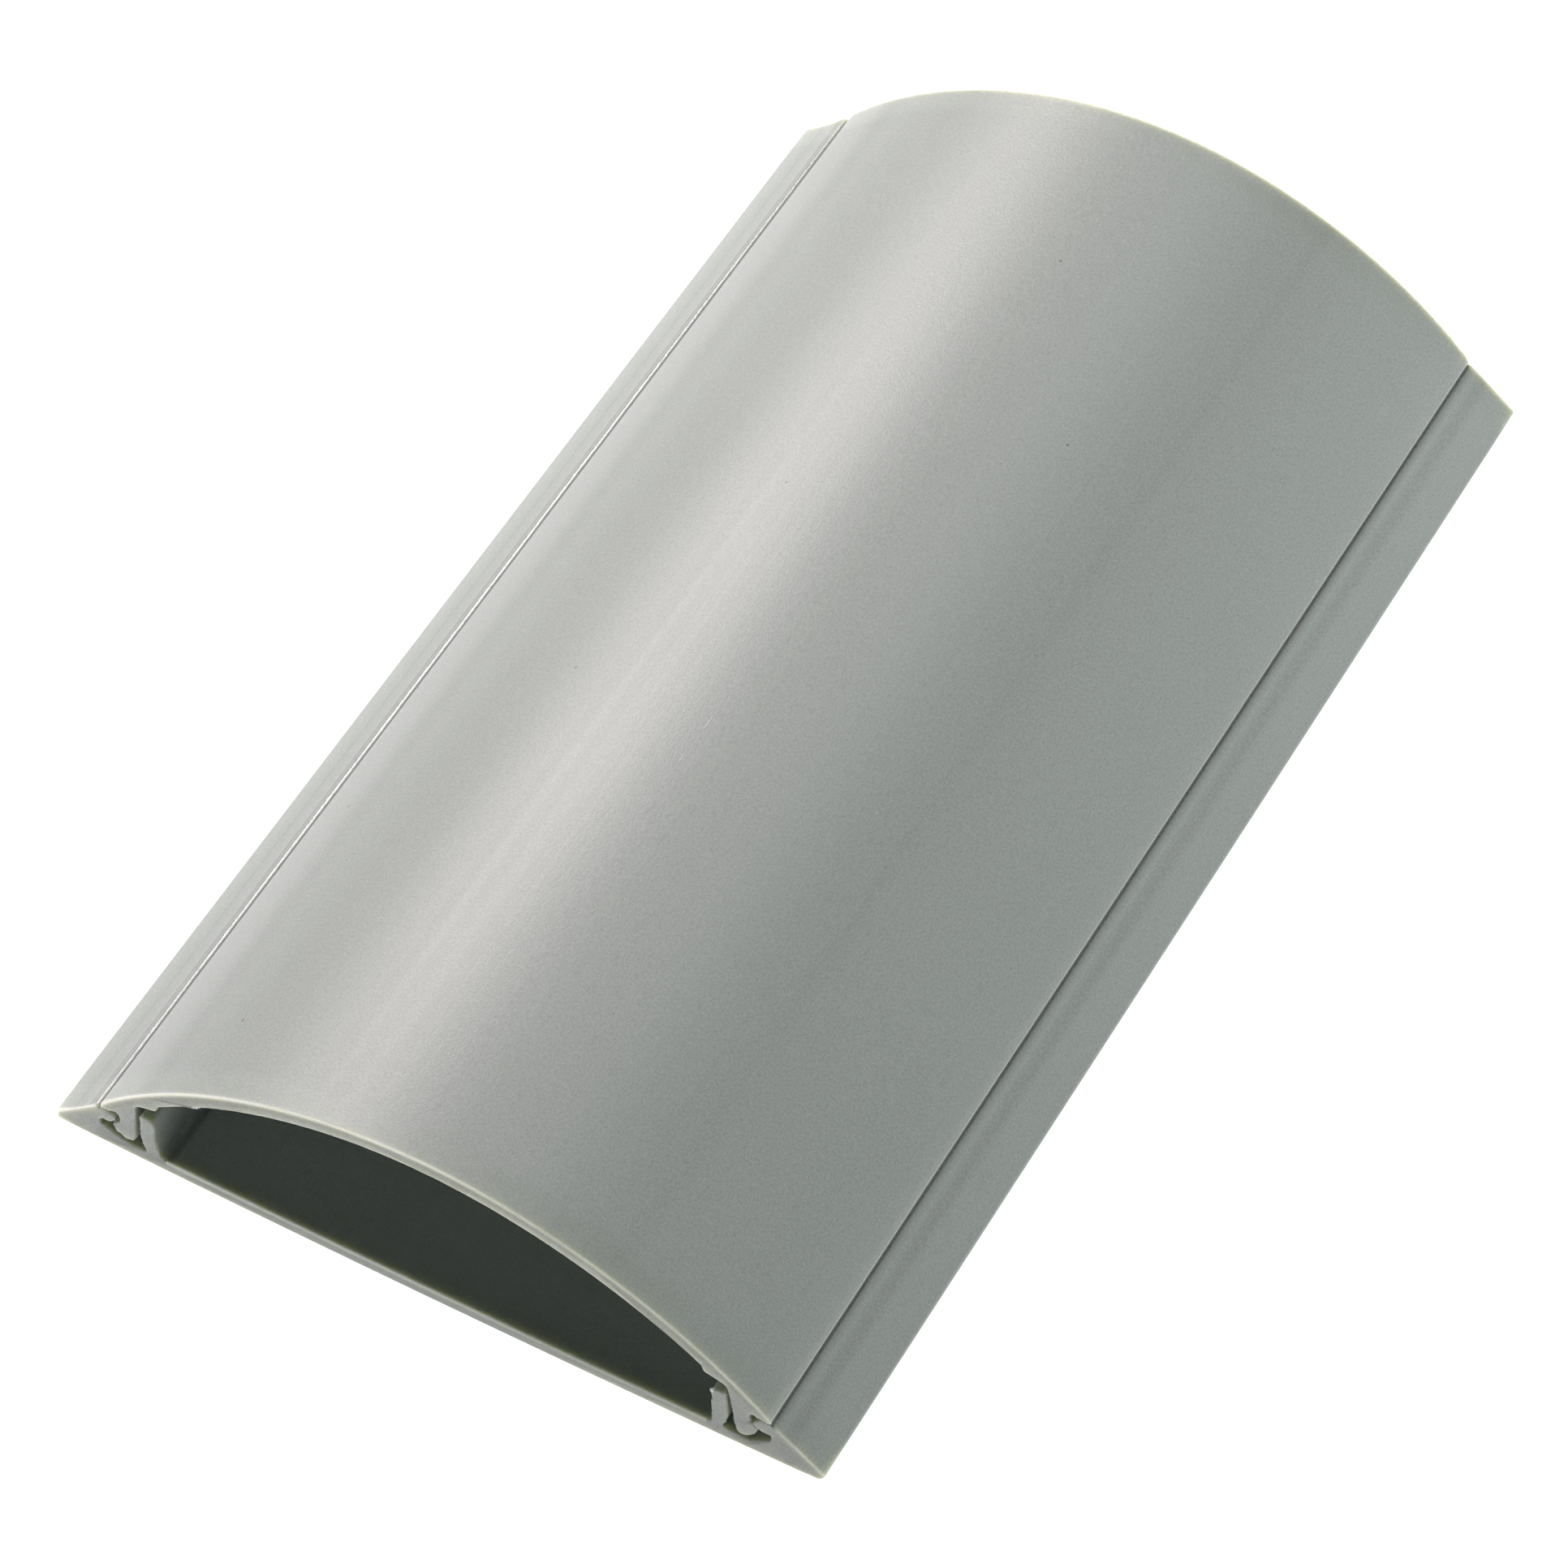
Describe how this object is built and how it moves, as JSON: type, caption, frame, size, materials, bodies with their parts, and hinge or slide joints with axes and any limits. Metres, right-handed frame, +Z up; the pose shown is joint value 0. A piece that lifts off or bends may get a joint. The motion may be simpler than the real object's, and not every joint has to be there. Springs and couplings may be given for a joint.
{
  "type": "floor cord cover",
  "caption": "Cut length of walk-over cable duct: a flat base channel with sloping sides and a domed clip-on lid that slides along it.",
  "frame": {"origin": "centre of the underside, on the floor that the base rests on", "axes": "+Y along the length, +X across it, +Z up through the crown of the lid"},
  "size_m": [0.1, 0.173, 0.028],
  "materials": {
    "base_plastic": "semi-matte extruded rigid plastic, cool greenish grey",
    "lid_plastic": "semi-matte extruded rigid plastic, cool greenish grey, lightly scuffed on the crown"
  },
  "bodies": {
    "base": {"base_channel": "base_plastic"},
    "lid": {"domed_lid": "lid_plastic"}
  },
  "joints": [
    {"name": "lid_slide", "type": "slide", "parent": "base", "child": "lid", "axis": [0, 1, 0], "range_m": [-0.15, 0.15]}
  ]
}
